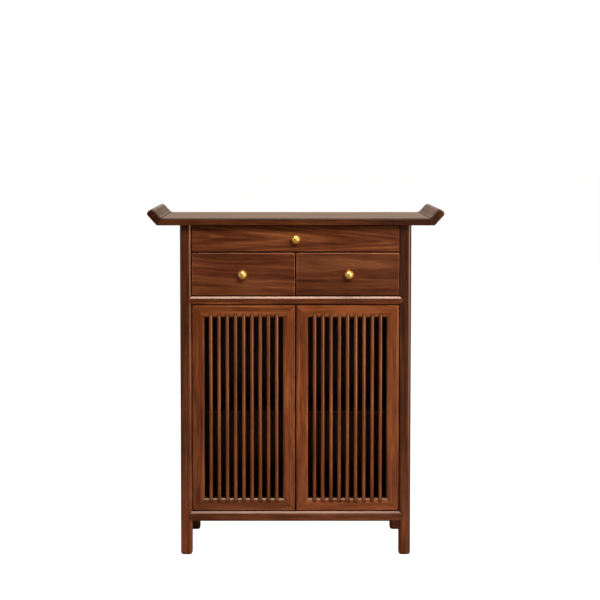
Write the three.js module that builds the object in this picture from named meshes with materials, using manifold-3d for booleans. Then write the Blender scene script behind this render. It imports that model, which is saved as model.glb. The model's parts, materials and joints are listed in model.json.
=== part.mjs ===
// A household altar cabinet in walnut: a top with upturned ends on four round-edged legs, one wide
// drawer over two smaller ones, and a cupboard behind two doors of upright spindles.
// Millimetres, +Z up. The front faces -Y, and the origin is on the floor under the middle of the
// cabinet's overall box.
import * as THREE from 'three';
import { mergeVertices } from 'three/addons/utils/BufferGeometryUtils.js';
import Module from 'manifold-3d';

const wasm = await Module();
wasm.setup();

// ---------------------------------------------------------------- driving dimensions
const jointGap = 0.3; // between two pieces that are joined

const top = { surface: 1056.7, thickness: 22, depth: 400, edge: 4 };
// An upturned end: its inner face rises from the fold at an angle (degrees) for a length.
const upturn = {
  foldX: 413, angle: 48, length: 43, thickness: 25.5, lip: 11, nose: 8.5, heel: 5, fillet: 18,
};

const leg = { outer: 359, size: 36, rearWidth: 43, face: 166, arris: 10, foot: 7 };
const bottomRail = { low: 106.5, high: 137.5 };
const midRail = { low: 787, high: 812 };
const rail = { depth: 30, arris: 4, crease: 1.5, shoulder: 12 }; // shoulder: thickness of the pointed ends
const railSlope = { drop: 6.5, run: 4.9 }; // the sloped top edge that catches the light
const rearRail = { front: 135, back: 157 };

const frontFace = 162; // doors and drawer fronts, 4 mm behind the legs' faces
const frontThickness = 20;
const frontEdge = 2.2; // rounding round a drawer front
const legClearance = 1.5; // between a front and a leg
const upperFront = { low: 951.5, high: 1031 };
const lowerFront = { low: 814.5, high: 947.5, meeting: 2 };

const door = { low: 140, high: 783.5, meeting: 1.75, member: 37.25, edge: 2.2, chamfer: 4 };
const spindle = { count: 9, diameter: 11.2, axis: 6.1, beyond: 12, clearance: 1 };
const pivot = { inset: 8.5, depth: 4.5, diameter: 5, intoDoor: 12, intoRail: 8, clearance: 0.4 };

const sidePanel = { inner: 337, outer: 351 };
const backPanel = { front: 141, back: 150 };
const bottomBoard = { low: 122, high: 134 };
const shelf = { low: 434, high: 446, front: -125 };
const dustBoard = { low: 800, high: 812 };
const drawerBoard = { low: 945.5, high: 953.5, front: -141 };
const dividerHalf = 9;

const tray = { wall: 12, floor: 6, back: 128, lift: 0.5, outer: 320.5, dividerGap: 4 };
const upperTrayHeight = 65;
const lowerTrayHeight = 121;
const lowerKnobX = 165;
const knob = { ball: 14.3, reach: 32, neck: 4.5, rose: 8.5, roseThickness: 2.2 };

// ---------------------------------------------------------------- derived places
const underTop = top.surface - top.thickness;
const legInner = leg.outer - leg.size;
const rearLegInner = leg.outer - leg.rearWidth;
const legBack = leg.face - leg.size; // how far the gap between front and rear legs reaches from y = 0
const frontOuter = legInner - legClearance;
const frontY = -frontFace;
const frontBackY = frontY + frontThickness;
const pivotX = frontOuter - pivot.inset;
const pivotY = frontY + pivot.depth;

// ---------------------------------------------------------------- materials
function wood(color, roughness) {
  return new THREE.MeshStandardMaterial({ color, roughness, metalness: 0 });
}
const walnut = wood(0x5a2e18, 0.4);
const walnutTop = wood(0x43200e, 0.38);
const walnutFront = wood(0x5f321b, 0.4);
const walnutDoor = wood(0x733b1e, 0.4);
const walnutSpindle = wood(0x7e492a, 0.38);
const walnutInside = wood(0x2a150b, 0.6);
const drawerWood = wood(0x86603f, 0.55);
const pivotSteel = new THREE.MeshStandardMaterial({ color: 0x1c1a19, roughness: 0.5, metalness: 1 });
const brass = new THREE.MeshStandardMaterial({ color: 0xe0b050, roughness: 0.25, metalness: 1 });

// ---------------------------------------------------------------- solids
function solidFrom(geometry) {
  const bare = geometry.index ? geometry.toNonIndexed() : geometry.clone();
  bare.deleteAttribute('normal');
  bare.deleteAttribute('uv');
  const merged = mergeVertices(bare, 1e-4);
  const vertProperties = merged.getAttribute('position').array;
  const triVerts = new Uint32Array(merged.index.array);
  return new wasm.Manifold(new wasm.Mesh({ numProp: 3, vertProperties, triVerts }));
}

function geometryFrom(solid) {
  const mesh = solid.getMesh();
  const geometry = new THREE.BufferGeometry();
  geometry.setAttribute('position', new THREE.BufferAttribute(new Float32Array(mesh.vertProperties), 3));
  geometry.setIndex(new THREE.BufferAttribute(new Uint32Array(mesh.triVerts), 1));
  const faceted = geometry.toNonIndexed();
  faceted.computeVertexNormals();
  return faceted;
}

function cut(geometry, ...cutters) {
  let solid = solidFrom(geometry);
  for (const cutter of cutters) {
    solid = solid.subtract(solidFrom(cutter));
  }
  return geometryFrom(solid);
}

function common(a, b) {
  return geometryFrom(solidFrom(a).intersect(solidFrom(b)));
}

function joined(a, b) {
  return geometryFrom(solidFrom(a).add(solidFrom(b)));
}

// A closed outline through corners [x, y, radius], each rounded by an arc of its own radius.
function roundedOutline(corners, arcSteps = 4) {
  const at = corners.map(([x, y]) => new THREE.Vector2(x, y));
  const points = [];
  corners.forEach(([, , radius = 0], i) => {
    const corner = at[i];
    if (!radius) {
      points.push(corner);
      return;
    }
    const toPrevious = at[(i + at.length - 1) % at.length].clone().sub(corner).normalize();
    const toNext = at[(i + 1) % at.length].clone().sub(corner).normalize();
    const halfAngle = Math.acos(toPrevious.dot(toNext)) / 2;
    const inward = toPrevious.clone().add(toNext).normalize();
    const centre = corner.clone().addScaledVector(inward, radius / Math.sin(halfAngle));
    const tangent = radius / Math.tan(halfAngle);
    const from = corner.clone().addScaledVector(toPrevious, tangent).sub(centre).angle();
    const to = corner.clone().addScaledVector(toNext, tangent).sub(centre).angle();
    const turn = Math.atan2(Math.sin(to - from), Math.cos(to - from));
    for (let step = 0; step <= arcSteps; step++) {
      const angle = from + (turn * step) / arcSteps;
      const spoke = new THREE.Vector2(Math.cos(angle), Math.sin(angle));
      points.push(centre.clone().addScaledVector(spoke, radius));
    }
  });
  return new THREE.Shape(points);
}

function roundedRectangle([x0, x1], [y0, y1], radius, arcSteps) {
  return roundedOutline([[x0, y0, radius], [x1, y0, radius], [x1, y1, radius], [x0, y1, radius]], arcSteps);
}

// An extrusion whose two ends' edges are rounded by the given bevel.
function extruded(shape, length, bevel, bevelSegments) {
  return new THREE.ExtrudeGeometry(shape, {
    depth: length - 2 * bevel,
    steps: 1,
    bevelEnabled: bevel > 0,
    bevelThickness: bevel,
    bevelSize: bevel,
    bevelOffset: -bevel,
    bevelSegments,
  }).translate(0, 0, bevel);
}

// The shape lies in YZ.
function alongX(shape, [x0, x1], bevel = 0, bevelSegments = 2) {
  return extruded(shape, x1 - x0, bevel, bevelSegments)
    .rotateX(Math.PI / 2)
    .rotateZ(Math.PI / 2)
    .translate(x0, 0, 0);
}

// The shape lies in XZ.
function alongY(shape, [y0, y1], bevel = 0, bevelSegments = 2) {
  return extruded(shape, y1 - y0, bevel, bevelSegments).rotateX(Math.PI / 2).translate(0, y1, 0);
}

// The shape lies in XY.
function alongZ(shape, [z0, z1], bevel = 0, bevelSegments = 2) {
  return extruded(shape, z1 - z0, bevel, bevelSegments).translate(0, 0, z0);
}

function block([x0, x1], [y0, y1], [z0, z1]) {
  return new THREE.BoxGeometry(x1 - x0, y1 - y0, z1 - z0)
    .translate((x0 + x1) / 2, (y0 + y1) / 2, (z0 + z1) / 2);
}

function polygon(points) {
  return new THREE.Shape(points.map(([x, y]) => new THREE.Vector2(x, y)));
}

function piece(name, geometry, material) {
  const mesh = new THREE.Mesh(geometry, material);
  mesh.name = name;
  return mesh;
}

// A plain board, centred on its own middle and placed by its position.
function board(name, material, [x0, x1], [y0, y1], [z0, z1]) {
  const mesh = piece(name, new THREE.BoxGeometry(x1 - x0, y1 - y0, z1 - z0), material);
  mesh.position.set((x0 + x1) / 2, (y0 + y1) / 2, (z0 + z1) / 2);
  return mesh;
}

// ---------------------------------------------------------------- the top
// The right-hand end's corners: fold, lip and nose at its free end, and heel on the underside.
function upturnCorners() {
  const angle = THREE.MathUtils.degToRad(upturn.angle);
  const up = new THREE.Vector2(Math.cos(angle), Math.sin(angle));
  const outward = new THREE.Vector2(Math.sin(angle), -Math.cos(angle));
  const fold = new THREE.Vector2(upturn.foldX, top.surface);
  const lip = fold.clone().addScaledVector(up, upturn.length);
  const nose = lip.clone().addScaledVector(outward, upturn.thickness);
  const heel = nose.clone().addScaledVector(up, (underTop - nose.y) / up.y);
  return { fold, lip, nose, heel };
}

// One outline for the board and its upturned ends, cut into three pieces on the mitres.
function topOutline({ fold, lip, nose, heel }) {
  const right = [
    [heel.x, heel.y, upturn.heel],
    [nose.x, nose.y, upturn.nose],
    [lip.x, lip.y, upturn.lip],
    [fold.x, fold.y, upturn.fillet],
  ];
  const left = right.map(([x, z, radius]) => [-x, z, radius]).reverse();
  return roundedOutline([...right, ...left]);
}

function topPieces() {
  const corners = upturnCorners();
  const whole = alongY(topOutline(corners), [-top.depth / 2, top.depth / 2], top.edge, 3);
  const beyond = 60;
  const low = underTop - beyond;
  const high = top.surface + beyond;
  const slope = (corners.heel.x - corners.fold.x) / top.thickness;
  const mitreX = (z, shift) => corners.fold.x + (top.surface - z) * slope + shift;
  const far = corners.nose.x + beyond;
  const middle = polygon([
    [-mitreX(low, 0), low],
    [mitreX(low, 0), low],
    [mitreX(high, 0), high],
    [-mitreX(high, 0), high],
  ]);
  const end = polygon([
    [mitreX(low, jointGap), low],
    [far, low],
    [far, high],
    [mitreX(high, jointGap), high],
  ]);
  const slab = (shape) => alongY(shape, [-top.depth, top.depth]);
  const endGeometry = common(whole, slab(end));
  const leftEnd = piece('top_end_left', endGeometry, walnutTop);
  leftEnd.scale.x = -1;
  return [
    piece('top_board', common(whole, slab(middle)), walnutTop),
    leftEnd,
    piece('top_end_right', endGeometry, walnutTop),
  ];
}

// ---------------------------------------------------------------- legs and rails
// A rail's outline seen from its face, with ends that run to a point at 45 degrees. reach is half
// the distance between the legs, and grow moves the points outwards.
function pointedOutline({ low, high }, reach, grow) {
  const middle = (low + high) / 2;
  const half = (high - low) / 2 + 2 * grow;
  const base = reach - grow;
  return polygon([
    [-base - half, middle],
    [-base, middle - half],
    [base, middle - half],
    [base + half, middle],
    [base, middle + half],
    [-base, middle + half],
  ]);
}

// The bore for a door's pivot pin, or with no growth the pin itself. sign is -1 on the left. The
// pin stands in a rail at its end near the meeting height, and runs on into the door.
function pivotPin(sign, atTop, grow) {
  const low = atTop ? door.high - pivot.intoDoor : bottomRail.high - pivot.intoRail;
  const high = atTop ? midRail.low + pivot.intoRail : door.low + pivot.intoDoor;
  const radius = pivot.diameter / 2 + grow;
  return new THREE.CylinderGeometry(radius, radius, high - low + 2 * grow, 12)
    .rotateX(Math.PI / 2)
    .translate(sign * pivotX, pivotY, (low + high) / 2);
}

// A rail's section. Its outer side is at face, and inward is the way from there to its back.
function railSection(face, inward, { low, high }) {
  return roundedOutline([
    [face, low, rail.arris],
    [face + inward * rail.depth, low, 1],
    [face + inward * rail.depth, high, 1],
    [face + inward * railSlope.run, high, rail.crease],
    [face, high - railSlope.drop, rail.crease],
  ]);
}

// A front rail: a bar between the legs, with pointed ends let into their faces.
function frontRail(name, heights, atTop) {
  const { low, high } = heights;
  const bar = alongX(railSection(-leg.face, 1, heights), [-leg.outer, leg.outer]);
  const between = block([jointGap - legInner, legInner - jointGap], [-leg.face, 0], [low, high]);
  const outline = pointedOutline(heights, legInner, -jointGap / 2);
  const points = alongY(outline, [-leg.face, rail.shoulder - leg.face]);
  const shaped = common(bar, joined(between, points));
  const bores = [-1, 1].map((sign) => pivotPin(sign, atTop, pivot.clearance));
  return piece(name, cut(shaped, ...bores), walnut);
}

// The same bar at the side, running in Y, for the right-hand side.
function sideRail() {
  const { low, high } = bottomRail;
  const bar = alongY(railSection(leg.outer, -1, bottomRail), [-leg.face, leg.face]);
  const between = block([0, leg.outer], [jointGap - legBack, legBack - jointGap], [low, high]);
  const outline = pointedOutline(bottomRail, legBack, -jointGap / 2);
  const points = alongX(outline, [leg.outer - rail.shoulder, leg.outer]);
  return common(bar, joined(between, points));
}

// A leg for the right-hand side, with the seats for the rails' pointed ends.
function legGeometry(atFront) {
  const spare = 20;
  const inner = atFront ? legInner : rearLegInner;
  const [y0, y1] = atFront ? [-leg.face, -legBack] : [legBack, leg.face];
  const section = roundedRectangle([inner, leg.outer], [y0, y1], leg.arris);
  const post = alongZ(section, [0, underTop + spare], leg.foot, 3);
  const trim = block([0, leg.outer + 1], [y0 - 1, y1 + 1], [underTop - jointGap, underTop + spare + 1]);
  const seatDepth = rail.shoulder + jointGap;
  const seats = [
    alongX(pointedOutline(bottomRail, legBack, jointGap / 2), [leg.outer - seatDepth, leg.outer + 1]),
  ];
  if (atFront) {
    for (const heights of [bottomRail, midRail]) {
      const outline = pointedOutline(heights, legInner, jointGap / 2);
      seats.push(alongY(outline, [-leg.face - 1, seatDepth - leg.face]));
    }
  }
  return cut(post, trim, ...seats);
}

// ---------------------------------------------------------------- the carcass
// A board inside the cabinet, notched round the legs where it is wide or deep enough to meet them.
function notchedBoard(name, material, half, [y0, y1], { low, high }) {
  const above = [low - 1, high + 1];
  const notches = [-1, 1].flatMap((sign) => {
    const across = (inner) => [sign * (inner - jointGap), sign * (leg.outer + 1)].sort((a, b) => a - b);
    return [
      block(across(legInner), [-leg.face, jointGap - legBack], above),
      block(across(rearLegInner), [legBack - jointGap, leg.face], above),
    ];
  });
  return piece(name, cut(block([-half, half], [y0, y1], [low, high]), ...notches), material);
}

function carcass() {
  const group = new THREE.Group();
  group.add(...topPieces());
  for (const [side, sign] of [['left', -1], ['right', 1]]) {
    const half = new THREE.Group();
    half.scale.x = sign;
    half.add(piece(`leg_front_${side}`, legGeometry(true), walnut));
    half.add(piece(`leg_rear_${side}`, legGeometry(false), walnut));
    half.add(piece(`rail_side_${side}`, sideRail(), walnut));
    half.add(board(
      `side_panel_${side}`,
      walnut,
      [sidePanel.inner, sidePanel.outer],
      [jointGap - legBack, legBack - jointGap],
      [bottomRail.high + jointGap, underTop - jointGap],
    ));
    group.add(half);
  }
  group.add(frontRail('rail_front_middle', midRail, true));
  group.add(frontRail('rail_front_bottom', bottomRail, false));

  const betweenRearLegs = [jointGap - rearLegInner, rearLegInner - jointGap];
  group.add(board(
    'rail_rear_bottom',
    walnut,
    betweenRearLegs,
    [rearRail.front, rearRail.back],
    [bottomRail.low, bottomRail.high],
  ));
  group.add(board(
    'back_panel',
    walnut,
    betweenRearLegs,
    [backPanel.front, backPanel.back],
    [bottomRail.high + jointGap, underTop - jointGap],
  ));
  const behindRails = rail.depth - leg.face + jointGap;
  const toBackPanel = backPanel.front - jointGap;
  const toSidePanels = sidePanel.inner - jointGap;
  const toSideRails = leg.outer - rail.depth - jointGap;
  const toRearRail = rearRail.front - jointGap;
  const inside = (name, material, half, depth, heights) => {
    group.add(notchedBoard(name, material, half, depth, heights));
  };
  inside('bottom_board', walnutInside, toSideRails, [behindRails, toRearRail], bottomBoard);
  inside('shelf', walnut, toSidePanels, [shelf.front, toBackPanel], shelf);
  inside('dust_board', walnutInside, toSidePanels, [behindRails, toBackPanel], dustBoard);
  inside('drawer_board', walnutInside, toSidePanels, [drawerBoard.front, toBackPanel], drawerBoard);
  group.add(board(
    'drawer_divider',
    walnutInside,
    [-dividerHalf, dividerHalf],
    [drawerBoard.front, toBackPanel],
    [dustBoard.high + jointGap, drawerBoard.low - jointGap],
  ));
  return group;
}

// ---------------------------------------------------------------- drawers
// A turned knob on the Y axis: a rose against the drawer front, a neck and a ball.
function knobGeometry() {
  const centre = knob.reach - knob.ball;
  const steps = 8;
  const start = Math.PI - Math.asin(knob.neck / knob.ball);
  const profile = [[0, 0], [knob.rose, 0], [knob.rose, knob.roseThickness], [knob.neck, knob.roseThickness]];
  for (let step = 0; step < steps; step++) {
    const angle = start * (1 - step / steps);
    profile.push([knob.ball * Math.sin(angle), centre + knob.ball * Math.cos(angle)]);
  }
  profile.push([0, knob.reach]);
  return new THREE.LatheGeometry(profile.map(([r, y]) => new THREE.Vector2(r, y)), 18).rotateX(Math.PI);
}

// A drawer: its front, the open tray behind it, and its knob. The group stands at the front's middle.
function drawerGroup(name, [x0, x1], { low, high }, [trayX0, trayX1], trayLow, trayHeight, knobX) {
  const group = new THREE.Group();
  const middle = new THREE.Vector3((x0 + x1) / 2, frontY, (low + high) / 2);
  group.position.copy(middle);
  const halfWidth = (x1 - x0) / 2;
  const halfHeight = (high - low) / 2;
  const face = polygon([
    [-halfWidth, -halfHeight],
    [halfWidth, -halfHeight],
    [halfWidth, halfHeight],
    [-halfWidth, halfHeight],
  ]);
  group.add(piece(`${name}_front`, alongY(face, [0, frontThickness], frontEdge), walnutFront));

  const across = [trayX0 - middle.x, trayX1 - middle.x];
  const along = [frontThickness + jointGap, tray.back - middle.y];
  const up = [trayLow - middle.z, trayLow + trayHeight - middle.z];
  const outer = block(across, along, up);
  const inner = block(
    [across[0] + tray.wall, across[1] - tray.wall],
    [along[0] + tray.wall, along[1] - tray.wall],
    [up[0] + tray.floor, up[1] + 1],
  );
  group.add(piece(`${name}_box`, cut(outer, inner), drawerWood));

  const handle = piece(`${name}_knob`, knobGeometry(), brass);
  handle.position.set(knobX - middle.x, -jointGap, 0);
  group.add(handle);
  return group;
}

function drawers() {
  const upperTray = [-tray.outer, tray.outer];
  const lowerTray = [dividerHalf + tray.dividerGap, tray.outer];
  const upperLow = drawerBoard.high + tray.lift;
  const lowerLow = dustBoard.high + tray.lift;
  const span = [lowerFront.meeting, frontOuter];
  const mirrored = ([a, b]) => [-b, -a];
  const lower = (name, front, box, knobX) => (
    drawerGroup(name, front, lowerFront, box, lowerLow, lowerTrayHeight, knobX)
  );
  return [
    drawerGroup('drawer_top', [-frontOuter, frontOuter], upperFront, upperTray, upperLow, upperTrayHeight, 0),
    lower('drawer_left', mirrored(span), mirrored(lowerTray), -lowerKnobX),
    lower('drawer_right', span, lowerTray, lowerKnobX),
  ];
}

// ---------------------------------------------------------------- doors
// The right-hand door's frame: four bars with a chamfer towards the opening, mitred at the corners.
// opening holds the inside edges.
function doorFrame(opening) {
  const [x0, x1] = [door.meeting, frontOuter];
  const [z0, z1] = [door.low, door.high];
  const section = (outer, inner) => {
    const away = Math.sign(outer - inner);
    return [
      [outer, frontY, door.edge],
      [inner + away * door.chamfer, frontY],
      [inner, frontY + door.chamfer],
      [inner, frontBackY, 1],
      [outer, frontBackY, 1],
    ];
  };
  const swapped = (corners) => corners.map(([a, b, radius]) => [b, a, radius]);
  const upright = (outer, inner) => alongZ(roundedOutline(section(outer, inner), 2), [z0, z1]);
  const across = (outer, inner) => alongX(roundedOutline(swapped(section(outer, inner)), 2), [x0, x1]);

  // Everything between the two mitres that start at a bar's ends, for bars at the top or bottom
  // and for bars at the side. The former keep the joints' gap.
  const gap = jointGap * Math.SQRT2;
  const within = 2 * door.member;
  const betweenMitres = (points) => alongY(polygon(points), [frontY - 1, frontBackY + 1]);
  const lengthways = (z, inward) => betweenMitres([
    [x0 + gap, z],
    [x1 - gap, z],
    [x1 - gap - within, z + inward * within],
    [x0 + gap + within, z + inward * within],
  ]);
  const upwards = (x, inward) => betweenMitres([
    [x, z0],
    [x, z1],
    [x + inward * within, z1 - within],
    [x + inward * within, z0 + within],
  ]);

  const open = opening.x1 - opening.x0 - spindle.diameter * spindle.count;
  const pitch = open / (spindle.count + 1) + spindle.diameter;
  const spindleX = (i) => opening.x0 + pitch * (i + 1) - spindle.diameter / 2;
  const clear = spindle.diameter / 2 + spindle.clearance;
  const pocketBack = frontY + spindle.axis + spindle.diameter / 2 + 0.4;
  const pockets = (heights) => Array.from({ length: spindle.count }, (_, i) => {
    const x = spindleX(i);
    return alongY(roundedRectangle([x - clear, x + clear], heights, clear - 0.01), [frontY - 1, pocketBack]);
  });
  const high = opening.z1 + spindle.beyond + spindle.clearance;
  const low = opening.z0 - spindle.beyond - spindle.clearance;
  const topPin = pivotPin(1, true, pivot.clearance);
  const bottomPin = pivotPin(1, false, pivot.clearance);
  return {
    spindleX,
    members: {
      rail_top: cut(
        common(across(z1, opening.z1), lengthways(z1, -1)),
        ...pockets([opening.z1 - 2 * clear, high]),
        topPin,
      ),
      rail_bottom: cut(
        common(across(z0, opening.z0), lengthways(z0, 1)),
        ...pockets([low, opening.z0 + 2 * clear]),
        bottomPin,
      ),
      stile_outer: cut(common(upright(x1, opening.x1), upwards(x1, -1)), topPin, bottomPin),
      stile_inner: common(upright(x0, opening.x0), upwards(x0, 1)),
    },
  };
}

// A round rod with domed ends, standing on its own middle.
function spindleGeometry(length) {
  const radius = spindle.diameter / 2;
  const steps = 3;
  const upper = Array.from({ length: steps + 1 }, (_, step) => {
    const angle = (step / steps) * (Math.PI / 2);
    return [step < steps ? radius * Math.cos(angle) : 0, length / 2 - radius + radius * Math.sin(angle)];
  });
  const lower = upper.map(([r, y]) => [r, -y]).reverse();
  return new THREE.LatheGeometry([...lower, ...upper].map(([r, y]) => new THREE.Vector2(r, y)), 12)
    .rotateX(Math.PI / 2);
}

function doorGroup(side, sign) {
  const group = new THREE.Group();
  group.scale.x = sign;
  const opening = {
    x0: door.meeting + door.member,
    x1: frontOuter - door.member,
    z0: door.low + door.member,
    z1: door.high - door.member,
  };
  const { spindleX, members } = doorFrame(opening);
  for (const [name, geometry] of Object.entries(members)) {
    group.add(piece(`door_${side}_${name}`, geometry, walnutDoor));
  }
  const rod = spindleGeometry(opening.z1 - opening.z0 + 2 * spindle.beyond);
  for (let i = 0; i < spindle.count; i++) {
    const mesh = piece(`door_${side}_spindle_${i + 1}`, rod, walnutSpindle);
    mesh.position.set(spindleX(i), frontY + spindle.axis, (opening.z0 + opening.z1) / 2);
    group.add(mesh);
  }
  group.add(piece(`door_${side}_pivot_top`, pivotPin(1, true, 0), pivotSteel));
  group.add(piece(`door_${side}_pivot_bottom`, pivotPin(1, false, 0), pivotSteel));
  return group;
}

// ---------------------------------------------------------------- the cabinet
const cabinet = new THREE.Group();
cabinet.add(carcass(), ...drawers(), doorGroup('left', -1), doorGroup('right', 1));

export default cabinet;
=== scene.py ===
"""The household altar cabinet's looks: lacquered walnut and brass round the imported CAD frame.

Every piece is made from its CAD node's own shape, with the sharp edges eased, or turned anew where
it is round, and carries its grain as an attribute that runs along the board it was sawn from.
"""

import json
import math
import random

import bmesh
import bpy
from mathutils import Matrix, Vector


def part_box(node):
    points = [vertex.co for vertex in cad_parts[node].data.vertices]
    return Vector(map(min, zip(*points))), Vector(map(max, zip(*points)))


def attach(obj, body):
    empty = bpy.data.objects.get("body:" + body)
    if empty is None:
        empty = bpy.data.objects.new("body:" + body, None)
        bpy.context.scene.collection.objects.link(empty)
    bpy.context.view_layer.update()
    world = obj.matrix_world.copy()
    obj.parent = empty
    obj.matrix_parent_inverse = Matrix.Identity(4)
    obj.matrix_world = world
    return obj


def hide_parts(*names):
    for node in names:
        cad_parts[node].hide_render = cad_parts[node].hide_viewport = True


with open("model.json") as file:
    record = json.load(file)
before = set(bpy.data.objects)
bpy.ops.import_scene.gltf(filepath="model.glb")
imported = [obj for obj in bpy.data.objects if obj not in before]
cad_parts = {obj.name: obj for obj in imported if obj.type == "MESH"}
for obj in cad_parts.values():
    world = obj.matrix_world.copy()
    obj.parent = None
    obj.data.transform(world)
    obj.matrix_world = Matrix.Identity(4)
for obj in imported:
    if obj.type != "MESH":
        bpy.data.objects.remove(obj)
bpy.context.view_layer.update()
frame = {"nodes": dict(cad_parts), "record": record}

MM = 0.001
NODE_BODY = {
    node: body
    for body, nodes in frame["record"]["behaviour"]["bodies"].items()
    for node in nodes
}
NODE_SLOT = {part["node"]: part["material_slot"] for part in frame["record"]["subparts"]}

# ---------------------------------------------------------------- the view, the floor and the air
CAMERA_PLACE = (-0.0287, -4.664, 1.298)
CAMERA_PITCH = math.radians(3)  # downwards
CAMERA_LENS = 87.39
CAMERA_SHIFT = (0.0227, -0.14)
AMBIENT = 0.08
AMBIENT_COLOR = (1, 0.86, 0.74, 1)
FLOOR_HALF = 60  # metres, so that its edge lies at the horizon
FLOOR_DROP = 0.5 * MM  # below the feet
FLOOR_LIT = (0.3, 0.3, 0.3, 1)  # what the camera sees of the lamps' light on it
FLOOR_GLOW = 0.98  # added to that, so that it is nearly white
FLOOR_BOUNCE = (0.26, 0.18, 0.13, 1)  # what it throws back on the cabinet
MIDDLE = (0, 0, 0.55)  # of the cabinet

# ---------------------------------------------------------------- tones of places and pieces
# A tone says how much paler than its wood a place is, or darker if negative: the wood's own differences, or
# painted light and shade.
# From DULL_BELOW down a dark place is duller too, apart from the inside's painted shade.
INSIDE_PAINTED_SHADE = -0.94  # painted shade: the faces inside the cupboard, made near-black
END_GRAIN = -0.4
JOINT_DARK = -0.85
JOINT_WIDTH = 1.5 * MM  # to each side of a mitre
SLOPE_PAINTED_SHADE = -0.66  # painted shade: the upturned ends' inner faces, darker and duller to dim their sheen
CHAMFER_PAINTED_SHADE = -0.72  # painted shade: the lower chamfer of a door's opening, darker and duller to dim its highlight
ARRIS_PAINTED_SHADE = -0.72  # painted shade: the front edge of the top, darker and duller to dim its highlight
FOLD = (413 * MM, 1056.7 * MM)  # where the top turns up: sideways and in height
MITRE = math.radians(24)  # of the joint there, from upright
LEG_GRADE = 0.4  # the height in metres where the painted light on a leg, paler towards its foot, stops
GRADE_STEPS = 8
# painted light: how much paler each front leg is at its foot
FOOT_PAINTED_LIGHT = {"leg_front_left": 1.4, "leg_front_right": 0.3}
PAINTED_EDGE_HIGHLIGHTS_AND_SHADE = {  # a front piece's edges: painted highlights where positive, paler as if they caught the light; painted shade where negative, darker and duller to dim a highlight
    "drawer_top_front": 0.6,
    "drawer_left_front": 1.2,
    "drawer_right_front": 1.2,
    "door_left_rail_top": 0.6,
    "door_right_rail_top": 0.6,
    "rail_front_bottom": -0.46,
}
OWN_LOOKS = {  # the wood of pieces that differ from the others of their slot
    "shelf": "walnut_shelf_painted_shade",
    "drawer_top_front": "walnut_figured",
    "side_panel_left": "walnut_panel",
    "side_panel_right": "walnut_panel",
    "back_panel": "walnut_panel",
}
# Pieces paler or darker than their wood, one by one. drawer_top_front is made paler as painted light,
# against the shade that the overhanging top casts on it.
PIECE_TONES = {
    "leg_front_right": -0.2,
    "leg_rear_left": -0.4,
    "leg_rear_right": -0.1,
    "drawer_top_front": 0.18,
    "drawer_right_front": -0.18,
    "door_left_stile_outer": -0.12,
    "door_left_rail_top": -0.15,
    "door_left_rail_bottom": -0.33,
    "door_right_rail_bottom": 0.2,
    "rail_front_middle": 0.3,
    "door_right_rail_top": 0.12,
    "door_right_stile_outer": -0.05,
    "door_right_stile_inner": 0.08,
}
LEFT, RIGHT = (-1, 0, 0), (1, 0, 0)
FRONT, BACK = (0, -1, 0), (0, 1, 0)
DOWN, UP = (0, 0, -1), (0, 0, 1)
PAINTED_SHADE_FACES = {  # the ways that a piece's faces inside the cupboard look, which get painted shade
    "side_panel_left": [RIGHT],
    "side_panel_right": [LEFT],
    "back_panel": [FRONT],
    "rail_rear_bottom": [FRONT, UP],
    "shelf": [LEFT, RIGHT, BACK, DOWN, UP],
}
# Where a board's log has its heart: (across the board, behind its face, lean across the board).
HEARTS = {
    "drawer_top_front": (0.0, 0.02, 0.03),
    "drawer_left_front": (0.06, 0.04, 0.02),
    "drawer_right_front": (-0.03, 0.05, 0.03),
}

# ---------------------------------------------------------------- sizes of the finer shapes
EASE = 0.8 * MM  # rounding of sharp edges
TOP_EASE = 1.3 * MM
EASED_FROM = math.radians(34)  # edges that turn by less stay as they are
SHARP_FROM = math.radians(40)  # edges that turn by more are shaded as edges
TURNED_SHARP_FROM = math.radians(50)
SPINDLE_SIDES, KNOB_SIDES, PIN_SIDES = 28, 48, 24
PIN_CHAMFER = 0.5 * MM
KNOB_NECK = 0.34  # its radius as a share of the ball's
ROSE_RADIUS = 8.2 * MM
ROSE_RIM = 1.2 * MM  # height of the rose's edge under its rounding
ROSE_ROUND = 1.0 * MM
ROSE_STEPS = ((2.2 * MM, 6.2 * MM), (2.6 * MM, 5.6 * MM))  # (height, radius)
ROSE_HEIGHT = 3.2 * MM
ROSE_FLARE = 1.05  # where the neck meets the rose, as a share of the neck


# ---------------------------------------------------------------- camera, floor and light
def make_camera():
    data = bpy.data.cameras.new("camera")
    data.lens = CAMERA_LENS
    data.sensor_width = 36
    data.shift_x, data.shift_y = CAMERA_SHIFT
    camera = bpy.data.objects.new("camera", data)
    camera.location = CAMERA_PLACE
    camera.rotation_euler = (math.pi / 2 - CAMERA_PITCH, 0, 0)
    bpy.context.scene.collection.objects.link(camera)
    bpy.context.scene.camera = camera


def make_world():
    """White to the camera, and a dimmer grey to everything that it lights or is reflected in."""
    world = bpy.data.worlds.new("studio")
    world.use_nodes = True
    nodes, links = world.node_tree.nodes, world.node_tree.links
    nodes.clear()
    seen = nodes.new("ShaderNodeBackground")
    seen.inputs["Color"].default_value = (1, 1, 1, 1)
    lighting = nodes.new("ShaderNodeBackground")
    lighting.inputs["Color"].default_value = AMBIENT_COLOR
    lighting.inputs["Strength"].default_value = AMBIENT
    path = nodes.new("ShaderNodeLightPath")
    mix = nodes.new("ShaderNodeMixShader")
    output = nodes.new("ShaderNodeOutputWorld")
    links.new(path.outputs["Is Camera Ray"], mix.inputs["Fac"])
    links.new(lighting.outputs[0], mix.inputs[1])
    links.new(seen.outputs[0], mix.inputs[2])
    links.new(mix.outputs[0], output.inputs["Surface"])
    bpy.context.scene.world = world
    bpy.context.scene.view_settings.view_transform = "Standard"


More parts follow.
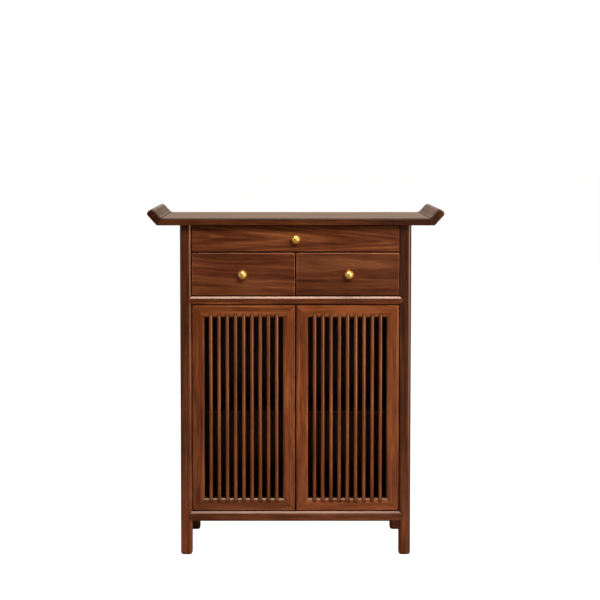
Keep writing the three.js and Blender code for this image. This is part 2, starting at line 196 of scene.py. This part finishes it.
def make_floor():
    """A pale floor. What it throws back on the cabinet is dimmer than what the camera sees of it."""
    corners = [(x * FLOOR_HALF, y * FLOOR_HALF, 0) for x, y in ((-1, -1), (1, -1), (1, 1), (-1, 1))]
    mesh = bpy.data.meshes.new("floor")
    mesh.from_pydata(corners, [], [(0, 1, 2, 3)])
    floor = bpy.data.objects.new("floor", mesh)
    floor.location.z = -FLOOR_DROP
    bpy.context.scene.collection.objects.link(floor)
    material = bpy.data.materials.new("floor")
    material.use_nodes = True
    nodes, links = material.node_tree.nodes, material.node_tree.links
    nodes.clear()
    bounced = nodes.new("ShaderNodeBsdfDiffuse")
    bounced.inputs["Color"].default_value = FLOOR_BOUNCE
    lit = nodes.new("ShaderNodeBsdfDiffuse")
    lit.inputs["Color"].default_value = FLOOR_LIT
    glow = nodes.new("ShaderNodeEmission")
    glow.inputs["Strength"].default_value = FLOOR_GLOW
    seen = nodes.new("ShaderNodeAddShader")
    path = nodes.new("ShaderNodeLightPath")
    mix = nodes.new("ShaderNodeMixShader")
    output = nodes.new("ShaderNodeOutputMaterial")
    links.new(lit.outputs[0], seen.inputs[0])
    links.new(glow.outputs[0], seen.inputs[1])
    links.new(path.outputs["Is Camera Ray"], mix.inputs["Fac"])
    links.new(bounced.outputs[0], mix.inputs[1])
    links.new(seen.outputs[0], mix.inputs[2])
    links.new(mix.outputs[0], output.inputs["Surface"])
    mesh.materials.append(material)


def aim(lamp, target):
    direction = Vector(target) - lamp.location
    lamp.rotation_euler = direction.to_track_quat("-Z", "Y").to_euler()


def softbox(name, place, target, size, radiance, color=(1, 1, 1), mirrored=True, diffused=True):
    """A rectangular lamp. size is (width, height) in metres. mirrored is whether the lacquer and
    the brass show its reflection, and diffused whether it lights what it shines on."""
    data = bpy.data.lights.new(name, "AREA")
    data.shape = "RECTANGLE"
    data.size, data.size_y = size
    data.energy = radiance * math.pi * size[0] * size[1]
    data.color = color
    lamp = bpy.data.objects.new(name, data)
    lamp.location = place
    lamp.visible_camera = False
    lamp.visible_glossy = mirrored
    lamp.visible_diffuse = diffused
    bpy.context.scene.collection.objects.link(lamp)
    aim(lamp, target)


def make_lights():
    """Six lamps light the cabinet. The three named shine are there for what its lacquer mirrors."""
    low = (0, -0.1, 0.14)
    softbox("key", (0.9, -3.3, 2.9), MIDDLE, size=(1.8, 1.4), radiance=17, mirrored=False)
    softbox("side", (2.6, -1.0, 1.2), MIDDLE, size=(1.0, 1.6), radiance=4.5, mirrored=False)
    softbox("left", (-2.6, -1.2, 1.0), MIDDLE, size=(0.6, 2.0), radiance=2)
    softbox("low", (0.2, -0.8, 0.02), low, size=(1.5, 0.12), radiance=3.5, mirrored=False)
    softbox("back", (-1.6, 3.4, 2.2), MIDDLE, size=(1.6, 1.4), radiance=9, mirrored=False)
    softbox("overhead", (0, 0.2, 3.6), MIDDLE, size=(2.0, 1.4), radiance=3, mirrored=False)
    softbox(
        "shine_above", (0.1, -1.45, 3.2), (0, -0.1, 0.6),
        size=(1.7, 0.9), radiance=29, color=(1, 0.89, 0.8), diffused=False,
    )
    softbox(
        "shine_right", (1.9, -1.5, 0.95), (0, 0, 0.5),
        size=(1.4, 2.2), radiance=7, color=(1, 0.85, 0.7), diffused=False,
    )
    softbox(
        "shine_behind", (0, 3.6, 1.95), (0, 0, 1.4),
        size=(2.6, 1.5), radiance=0.77, color=(1, 0.73, 0.56),
    )


# ---------------------------------------------------------------- node helpers
def linear(code):
    """A colour given as six hexadecimal digits in sRGB, as linear values."""
    parts = [int(code[i:i + 2], 16) / 255 for i in (0, 2, 4)]
    return [c / 12.92 if c <= 0.04045 else ((c + 0.055) / 1.055) ** 2.4 for c in parts] + [1]


class Tree:
    """Short names for making and joining a material's nodes."""

    def __init__(self, name):
        self.material = bpy.data.materials.new(name)
        self.material.use_nodes = True
        self.nodes = self.material.node_tree.nodes
        self.links = self.material.node_tree.links
        self.shader = self.nodes["Principled BSDF"]

    def put(self, value, socket):
        if isinstance(value, bpy.types.NodeSocket):
            self.links.new(value, socket)
        else:
            socket.default_value = value

    def attribute(self, name):
        node = self.nodes.new("ShaderNodeAttribute")
        node.attribute_name = name
        return node

    def math(self, operation, a, b=0.0):
        node = self.nodes.new("ShaderNodeMath")
        node.operation = operation
        self.put(a, node.inputs[0])
        self.put(b, node.inputs[1])
        return node.outputs[0]

    def scaled(self, vector, scale):
        node = self.nodes.new("ShaderNodeVectorMath")
        node.operation = "MULTIPLY"
        self.put(vector, node.inputs[0])
        node.inputs[1].default_value = scale
        return node.outputs[0]

    def noise(self, vector, detail, roughness=0.5):
        node = self.nodes.new("ShaderNodeTexNoise")
        self.put(vector, node.inputs["Vector"])
        node.inputs["Scale"].default_value = 1
        node.inputs["Detail"].default_value = detail
        node.inputs["Roughness"].default_value = roughness
        return node.outputs["Fac"]

    def between(self, value, from_low, from_high, to_low, to_high):
        node = self.nodes.new("ShaderNodeMapRange")
        self.put(value, node.inputs["Value"])
        for name, number in (
            ("From Min", from_low), ("From Max", from_high), ("To Min", to_low), ("To Max", to_high),
        ):
            node.inputs[name].default_value = number
        return node.outputs["Result"]

    def spread(self, noise, to_low=0.0, to_high=1.0):
        """A noise, which keeps to the middle of its range, spread over a whole range."""
        return self.between(noise, 0.3, 0.7, to_low, to_high)

    def ramp(self, value, stops):
        node = self.nodes.new("ShaderNodeValToRGB")
        elements = node.color_ramp.elements
        while len(elements) < len(stops):
            elements.new(0.5)
        for element, (position, color) in zip(elements, stops):
            element.position = position
            element.color = color
        self.put(value, node.inputs["Fac"])
        return node.outputs["Color"]

    def multiplied(self, color, factor):
        """A colour times a grey value."""
        node = self.nodes.new("ShaderNodeVectorMath")
        node.operation = "SCALE"
        self.put(color, node.inputs[0])
        self.put(factor, node.inputs["Scale"])
        return node.outputs[0]

    def bump(self, height, strength, distance):
        node = self.nodes.new("ShaderNodeBump")
        node.inputs["Strength"].default_value = strength
        node.inputs["Distance"].default_value = distance
        self.put(height, node.inputs["Height"])
        return node.outputs["Normal"]


# ---------------------------------------------------------------- materials
GRAIN = "grain"  # the attribute: metres along the grain, across it, and into the log
LACQUER = (1, 0.8, 0.68, 1)  # the tint of what the lacquer mirrors
TONE = "tone"  # the attribute: how much paler than its wood a place is, or darker if negative, from the wood's own differences and from painted light and shade
# Waves a metre of each pattern (along the grain, across it, into the log).
STREAKS = (3.2, 95, 95)
LINES = (15, 330, 330)
CLOUDS = (4.5, 14, 14)
FIBRES = (20, 1100, 1100)
PORES = (90, 2400, 2400)
DRIFT_ACROSS = 9  # waves a metre of the grain's wandering, across the grain
STREAK_SHARE, LINE_SHARE, CLOUD_SHARE = 0.46, 0.26, 0.28  # of what the growth rings leave
DULL_BELOW, DULLEST_AT, DULLEST = 0.6, 0.15, 0.5  # paleness, paleness, and added roughness there
PAINTED_SHADE_BELOW = 0.1  # paleness, below which a place is the inside's painted shade


def walnut(
    name, colors, ring=0.012, taper=0.03, wander=0.02, bends=1.1, figure=0.16, roughness=0.29, gloss=0.5,
):
    """Plain-sawn walnut under satin lacquer. colors run from the darkest streak to the lightest.
    ring is a year's width in metres and taper the rings' widening along the log. wander is how far
    the grain strays sideways and bends how often, and figure is the rings' share of the pattern.

    The growth rings are nested cones round the log's heart, so they show as straight streaks at a
    board's edges and as pointed arches along its middle.
    """
    t = Tree(name)
    grain = t.attribute(GRAIN).outputs["Vector"]
    split = t.nodes.new("ShaderNodeSeparateXYZ")
    t.put(grain, split.inputs[0])
    along, across, into = split.outputs

    drift = t.noise(t.scaled(grain, (bends, DRIFT_ACROSS, DRIFT_ACROSS)), 2.0)
    stray = t.math("MULTIPLY", drift, wander)
    strayed = t.nodes.new("ShaderNodeCombineXYZ")
    for i, value in enumerate((along, t.math("ADD", across, stray), into)):
        t.put(value, strayed.inputs[i])
    wavy = strayed.outputs[0]
    across_squared = t.math("MULTIPLY", across, across)
    into_squared = t.math("MULTIPLY", into, into)
    radius = t.math("SQRT", t.math("ADD", across_squared, into_squared))
    cone = t.math("ADD", radius, t.math("MULTIPLY", along, taper))
    moved = t.math("ADD", cone, stray)
    # Noise along the radius alone, so that no two years are of one width or one tone.
    years = t.nodes.new("ShaderNodeCombineXYZ")
    t.put(t.math("DIVIDE", moved, ring), years.inputs[0])
    t.put(t.math("MULTIPLY", along, 0.7), years.inputs[1])
    band = t.spread(t.noise(years.outputs[0], 3.0, 0.55))

    streaks = t.noise(t.scaled(wavy, STREAKS), 4.0, 0.62)
    lines = t.noise(t.scaled(wavy, LINES), 3.0, 0.6)
    clouds = t.noise(t.scaled(wavy, CLOUDS), 3.0, 0.55)
    fibres = t.noise(t.scaled(wavy, FIBRES), 2.0, 0.6)
    pores = t.noise(t.scaled(grain, PORES), 1.0)

    rest = 1 - figure
    pattern = t.math("MULTIPLY", band, figure)
    for noise, share in ((streaks, STREAK_SHARE), (lines, LINE_SHARE), (clouds, CLOUD_SHARE)):
        pattern = t.math("ADD", t.math("MULTIPLY", t.spread(noise), share * rest), pattern)
    dark, middle, light = (linear(c) for c in colors)
    color = t.ramp(pattern, [(0.22, dark), (0.5, middle), (0.8, light)])
    open_pores = t.between(pores, 0.60, 0.72, 1.0, 0.7)
    fibre_shade = t.spread(fibres, 0.86, 1.12)
    paleness = t.math("ADD", t.attribute(TONE).outputs["Fac"], 1.0)
    shade = t.math("MULTIPLY", t.math("MULTIPLY", open_pores, fibre_shade), paleness)
    t.put(t.multiplied(color, shade), t.shader.inputs["Base Color"])

    polish = t.spread(streaks, roughness + 0.05, roughness - 0.04)
    unpolished = t.between(paleness, DULL_BELOW, DULLEST_AT, 0.0, DULLEST)
    not_painted_shade = t.math("GREATER_THAN", paleness, PAINTED_SHADE_BELOW)
    t.put(t.math("ADD", polish, t.math("MULTIPLY", unpolished, not_painted_shade)), t.shader.inputs["Roughness"])
    height = t.math("ADD", t.math("MULTIPLY", fibres, 0.5), open_pores)
    t.put(t.bump(height, 0.06, 0.0003), t.shader.inputs["Normal"])
    t.shader.inputs["Specular IOR Level"].default_value = gloss
    t.shader.inputs["Specular Tint"].default_value = LACQUER
    return t.material


def brass(name):
    """Polished brass with faint turning marks and a little tarnish."""
    t = Tree(name)
    place = t.attribute(GRAIN).outputs["Vector"]
    tarnish = t.noise(t.scaled(place, (160, 160, 160)), 4.0, 0.6)
    t.put(t.ramp(tarnish, [(0.3, linear("e8a646")), (0.7, linear("fad27a"))]), t.shader.inputs["Base Color"])
    t.put(t.spread(tarnish, 0.33, 0.24), t.shader.inputs["Roughness"])
    turning = t.noise(t.scaled(place, (2600, 40, 40)), 1.0)
    t.put(t.bump(turning, 0.05, 0.0002), t.shader.inputs["Normal"])
    t.shader.inputs["Metallic"].default_value = 0.65
    return t.material


def plain_wood(name, colors, roughness):
    """Bare, evenly grained wood, for the drawer boxes."""
    t = Tree(name)
    grain = t.attribute(GRAIN).outputs["Vector"]
    streaks = t.noise(t.scaled(grain, (2.5, 70, 70)), 4.0, 0.6)
    fibres = t.noise(t.scaled(grain, (14, 900, 900)), 2.0, 0.6)
    tone = t.math("ADD", t.math("MULTIPLY", streaks, 0.7), t.math("MULTIPLY", fibres, 0.3))
    dark, light = (linear(c) for c in colors)
    t.put(t.ramp(tone, [(0.35, dark), (0.65, light)]), t.shader.inputs["Base Color"])
    t.put(t.spread(fibres, roughness + 0.06, roughness - 0.04), t.shader.inputs["Roughness"])
    t.put(t.bump(fibres, 0.15, 0.0003), t.shader.inputs["Normal"])
    t.shader.inputs["Specular IOR Level"].default_value = 0.3
    return t.material


def blackened_steel(name):
    t = Tree(name)
    place = t.attribute(GRAIN).outputs["Vector"]
    marks = t.noise(t.scaled(place, (3000, 60, 60)), 3.0, 0.6)
    t.put(t.ramp(marks, [(0.3, linear("161413")), (0.7, linear("2a2724"))]), t.shader.inputs["Base Color"])
    t.put(t.spread(marks, 0.55, 0.42), t.shader.inputs["Roughness"])
    t.put(t.bump(marks, 0.1, 0.0002), t.shader.inputs["Normal"])
    t.shader.inputs["Metallic"].default_value = 1
    return t.material


def make_materials():
    return {
        "walnut_top": walnut("walnut_top", ("1c0803", "421c0a", "703b1d")),
        "walnut_case": walnut("walnut_case", ("2b0f04", "552913", "824625")),
        # Painted shade: the shelf's near-black wood, standing behind the doors.
        "walnut_shelf_painted_shade": walnut("walnut_shelf_painted_shade", ("0e0502", "1c0c05", "2c150a"), roughness=0.6, gloss=0.1),
        "walnut_panel": walnut("walnut_panel", ("3f1c0c", "552913", "6e3a1d"), figure=0.3),
        "walnut_drawer": walnut(
            "walnut_drawer", ("2e1007", "633119", "8a5230"),
            ring=0.010, bends=5, figure=0.38,
        ),
        "walnut_figured": walnut(
            "walnut_figured", ("34140a", "603018", "8a502b"),
            ring=0.008, taper=0.08, wander=0.01, bends=5, figure=0.36,
        ),
        "walnut_door": walnut("walnut_door", ("421a07", "783c1c", "a86236")),
        "walnut_spindle": walnut("walnut_spindle", ("4c1f07", "733b1c", "93532d"), ring=0.008),
        # Painted shade: the inside's near-black wood stands for the shade in the closed cupboard.
        "walnut_inside": walnut("walnut_inside", ("030101", "060302", "0b0503"), roughness=0.7, gloss=0.1),
        "drawer_wood": plain_wood("drawer_wood", ("7a5436", "96704b"), 0.55),
        "brass": brass("brass"),
        "pivot_steel": blackened_steel("pivot_steel"),
    }


# ---------------------------------------------------------------- shapes
def add_object(name, mesh):
    piece = bpy.data.objects.new(name, mesh)
    bpy.context.scene.collection.objects.link(piece)
    return piece


def clean_copy(node):
    """The CAD node's mesh with its triangles joined up again into whole faces."""
    mesh = bpy.data.meshes.new(node)
    work = bmesh.new()
    work.from_mesh(frame["nodes"][node].data)
    bmesh.ops.remove_doubles(work, verts=work.verts, dist=1e-6)
    flat = math.radians(0.5)
    bmesh.ops.dissolve_limit(work, angle_limit=flat, verts=work.verts, edges=work.edges)
    bmesh.ops.recalc_face_normals(work, faces=work.faces)
    work.to_mesh(mesh)
    work.free()
    return mesh


def apply_modifiers(piece):
    evaluated = piece.evaluated_get(bpy.context.evaluated_depsgraph_get())
    mesh = bpy.data.meshes.new_from_object(evaluated)
    mesh.name = piece.name
    piece.modifiers.clear()
    piece.data = mesh


def eased(node, ease):
    """The CAD node's shape with its sharp edges rounded by ease, smooth over its curves."""
    piece = add_object(f"{node}_wood", clean_copy(node))
    bevel = piece.modifiers.new("ease", "BEVEL")
    bevel.width = ease
    bevel.segments = 3
    bevel.limit_method = "ANGLE"
    bevel.angle_limit = EASED_FROM
    bevel.use_clamp_overlap = True
    bevel.miter_outer = "MITER_ARC"
    apply_modifiers(piece)
    piece.data.shade_smooth()
    piece.data.set_sharp_from_angle(angle=SHARP_FROM)
    even = piece.modifiers.new("even", "WEIGHTED_NORMAL")
    even.keep_sharp = True
    return piece


def turned(name, profile, place, axis, segments):
    """A turned piece. profile holds (distance along the axis, radius), and axis is "Y" or "Z"."""
    mesh = bpy.data.meshes.new(name)
    work = bmesh.new()
    rows = []
    for distance, radius in profile:
        row = []
        for step in range(segments if radius > 0 else 1):
            angle = 2 * math.pi * step / segments
            x, y = radius * math.cos(angle), radius * math.sin(angle)
            local = (x, distance, y) if axis == "Y" else (x, y, distance)
            row.append(work.verts.new(Vector(local) + Vector(place)))
        rows.append(row)
    for low, high in zip(rows, rows[1:]):
        for step in range(segments):
            after = (step + 1) % segments
            corners = [low[step % len(low)], low[after % len(low)]]
            corners += [high[after % len(high)], high[step % len(high)]]
            work.faces.new(list(dict.fromkeys(corners)))
    bmesh.ops.recalc_face_normals(work, faces=work.faces)
    work.to_mesh(mesh)
    work.free()
    mesh.shade_smooth()
    mesh.set_sharp_from_angle(angle=TURNED_SHARP_FROM)
    return add_object(name, mesh)


def arc(centre, radius, start, end, steps):
    """Points on an arc, as (distance along the axis, radius), from angles in degrees."""
    points = []
    for step in range(steps + 1):
        angle = math.radians(start + (end - start) * step / steps)
        points.append((centre[0] + radius * math.sin(angle), max(centre[1] + radius * math.cos(angle), 0)))
    return points


# ---------------------------------------------------------------- grain
AXES = {"X": (0, 1, 2), "Y": (1, 0, 2), "Z": (2, 0, 1)}


def store_grain(piece, values):
    attribute = piece.data.attributes.new(GRAIN, "FLOAT_VECTOR", "POINT")
    attribute.data.foreach_set("vector", [number for value in values for number in value])


def lay_grain(piece, direction, seed, heart=None):
    """Stores each point's place in the log. direction is the way the grain runs, and heart, if it
    is given, how far the log's heart lies (across the board, behind its face) and how much it
    leans across the board."""
    draw = random.Random(seed)
    low = Vector(min(v.co[i] for v in piece.data.vertices) for i in range(3))
    high = Vector(max(v.co[i] for v in piece.data.vertices) for i in range(3))
    middle = (low + high) / 2
    along, first, second = AXES[direction]
    sizes = high - low
    across, into = (first, second) if sizes[first] >= sizes[second] else (second, first)
    start = draw.uniform(0, 20)
    side, depth, lean = heart or (draw.uniform(-0.07, 0.07), draw.uniform(0.03, 0.11), 0)
    places = [vertex.co - middle for vertex in piece.data.vertices]
    store_grain(piece, [
        (start + p[along], side + lean * p[along] + p[across], depth + p[into]) for p in places
    ])


def store_tone(piece, values, domain):
    attribute = piece.data.attributes.new(TONE, "FLOAT", domain)
    attribute.data.foreach_set("value", values)


def top_tone(node, face):
    """The tone of a face of the top: dark at the mitres and end grain, with painted shade on the front edge
    and the slopes.
    """
    out = abs(face.center.x) - FOLD[0]
    down = FOLD[1] - face.center.z
    if abs(out * math.cos(MITRE) - down * math.sin(MITRE)) < JOINT_WIDTH:
        return JOINT_DARK
    if -0.97 < face.normal.y < -0.35 and face.normal.z > 0.1:
        return ARRIS_PAINTED_SHADE
    if "end" not in node:
        return 0.0
    slope = SLOPE_PAINTED_SHADE * abs(face.normal.x) if face.normal.z > 0.3 else 0.0
    return END_GRAIN * face.normal.y ** 2 + slope


def face_tone(node, face):
    """What a face adds to its piece's tone: painted shade inside the cupboard and on some edges, painted
    highlights on others, and the top's dark joints and end grain.
    """
    normal = face.normal
    if any(normal.dot(Vector(way)) > 0.5 for way in PAINTED_SHADE_FACES.get(node, ())):
        return INSIDE_PAINTED_SHADE
    if node in PAINTED_EDGE_HIGHLIGHTS_AND_SHADE and normal.y < -0.3 and max(abs(normal.x), normal.z) > 0.3:
        return PAINTED_EDGE_HIGHLIGHTS_AND_SHADE[node]
    # Painted shade on the upward-facing lower chamfer of a door's opening.
    if node.endswith("rail_bottom") and normal.z > 0.4 and normal.y < -0.4:
        return CHAMFER_PAINTED_SHADE
    return top_tone(node, face) if node.startswith("top_") else 0.0


def cut_at_mitres(piece):
    """Parts the faces beside the top's mitres, where the joint's dark edge stops."""
    work = bmesh.new()
    work.from_mesh(piece.data)
    for side in (-1, 1):
        across = Vector((side * math.cos(MITRE), 0, math.sin(MITRE)))
        fold = Vector((side * FOLD[0], 0, FOLD[1]))
        for offset in (-JOINT_WIDTH, JOINT_WIDTH):
            everything = work.verts[:] + work.edges[:] + work.faces[:]
            place = fold + across * offset
            bmesh.ops.bisect_plane(work, geom=everything, plane_co=place, plane_no=across)
    work.to_mesh(piece.data)
    work.free()


def paint_foot_light(piece, own, paler):
    """Paints light on a leg: paler towards its foot, from the tone own at its top."""
    work = bmesh.new()
    work.from_mesh(piece.data)
    for step in range(1, GRADE_STEPS + 1):
        height = LEG_GRADE * step / GRADE_STEPS
        everything = work.verts[:] + work.edges[:] + work.faces[:]
        bmesh.ops.bisect_plane(work, geom=everything, plane_co=(0, 0, height), plane_no=(0, 0, 1))
    work.to_mesh(piece.data)
    work.free()
    share = [max(1 - vertex.co.z / LEG_GRADE, 0) for vertex in piece.data.vertices]
    store_tone(piece, [own + paler * (3 - 2 * s) * s ** 2 for s in share], "POINT")


def finish_piece(piece, node, direction, materials, heart=None):
    lay_grain(piece, direction, node, heart)
    piece.data.materials.clear()
    piece.data.materials.append(materials[OWN_LOOKS.get(node, NODE_SLOT[node])])
    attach(piece, NODE_BODY[node])
    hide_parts(node)


# ---------------------------------------------------------------- the pieces
def grain_direction(node):
    if node.startswith("leg_") or "stile" in node or "panel" in node:
        return "Z"
    if node in ("top_end_left", "top_end_right", "rail_side_left", "rail_side_right", "drawer_divider"):
        return "Y"
    return "X"


def make_boards(materials):
    for node in frame["nodes"]:
        if "knob" in node or "pivot" in node or "spindle" in node:
            continue
        piece = eased(node, TOP_EASE if node.startswith("top_") else EASE)
        own = PIECE_TONES.get(node, 0.0)
        if node in FOOT_PAINTED_LIGHT:
            paint_foot_light(piece, own, FOOT_PAINTED_LIGHT[node])
        else:
            if node.startswith("top_"):
                cut_at_mitres(piece)
            store_tone(piece, [own + face_tone(node, face) for face in piece.data.polygons], "FACE")
        finish_piece(piece, node, grain_direction(node), materials, HEARTS.get(node))


def make_spindles(materials):
    """Round rods with domed ends, at their CAD nodes' places and sizes."""
    for node in frame["nodes"]:
        if "spindle" not in node:
            continue
        low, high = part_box(node)
        radius = (high.x - low.x) / 2
        half = (high.z - low.z) / 2
        end = half - radius
        profile = arc((-end, 0), radius, -90, 0, 8) + arc((end, 0), radius, 0, 90, 8)
        piece = turned(f"{node}_rod", profile, (low + high) / 2, "Z", SPINDLE_SIDES)
        finish_piece(piece, node, "Z", materials)


def make_knobs(materials):
    """Turned brass balls, each on a stepped rose and a waisted neck."""
    for node in frame["nodes"]:
        if "knob" not in node:
            continue
        low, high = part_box(node)
        ball = (high.z - low.z) / 2
        back = high.y
        centre = low.y + ball
        neck = KNOB_NECK * ball
        join = math.degrees(math.asin(neck / ball))
        profile = [(back, 0), (back, ROSE_RADIUS)]
        profile += arc((back - ROSE_RIM, ROSE_RADIUS - ROSE_ROUND), ROSE_ROUND, 0, -90, 4)
        profile += [(back - height, radius) for height, radius in ROSE_STEPS]
        profile += [(back - ROSE_HEIGHT, neck * ROSE_FLARE)]
        profile += arc((centre, 0), ball, 90 - join, -90, 28)
        place = ((low.x + high.x) / 2, 0, (low.z + high.z) / 2)
        piece = turned(f"{node}_brass", profile, place, "Y", KNOB_SIDES)
        finish_piece(piece, node, "Y", materials)


def make_pivots(materials):
    for node in frame["nodes"]:
        if "pivot" not in node:
            continue
        low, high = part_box(node)
        radius = (high.x - low.x) / 2
        half = (high.z - low.z) / 2
        profile = [
            (-half, 0), (-half, radius - PIN_CHAMFER), (PIN_CHAMFER - half, radius),
            (half - PIN_CHAMFER, radius), (half, radius - PIN_CHAMFER), (half, 0),
        ]
        piece = turned(f"{node}_pin", profile, (low + high) / 2, "Z", PIN_SIDES)
        finish_piece(piece, node, "Z", materials)


make_camera()
make_world()
make_floor()
make_lights()
looks = make_materials()
make_boards(looks)
make_spindles(looks)
make_knobs(looks)
make_pivots(looks)
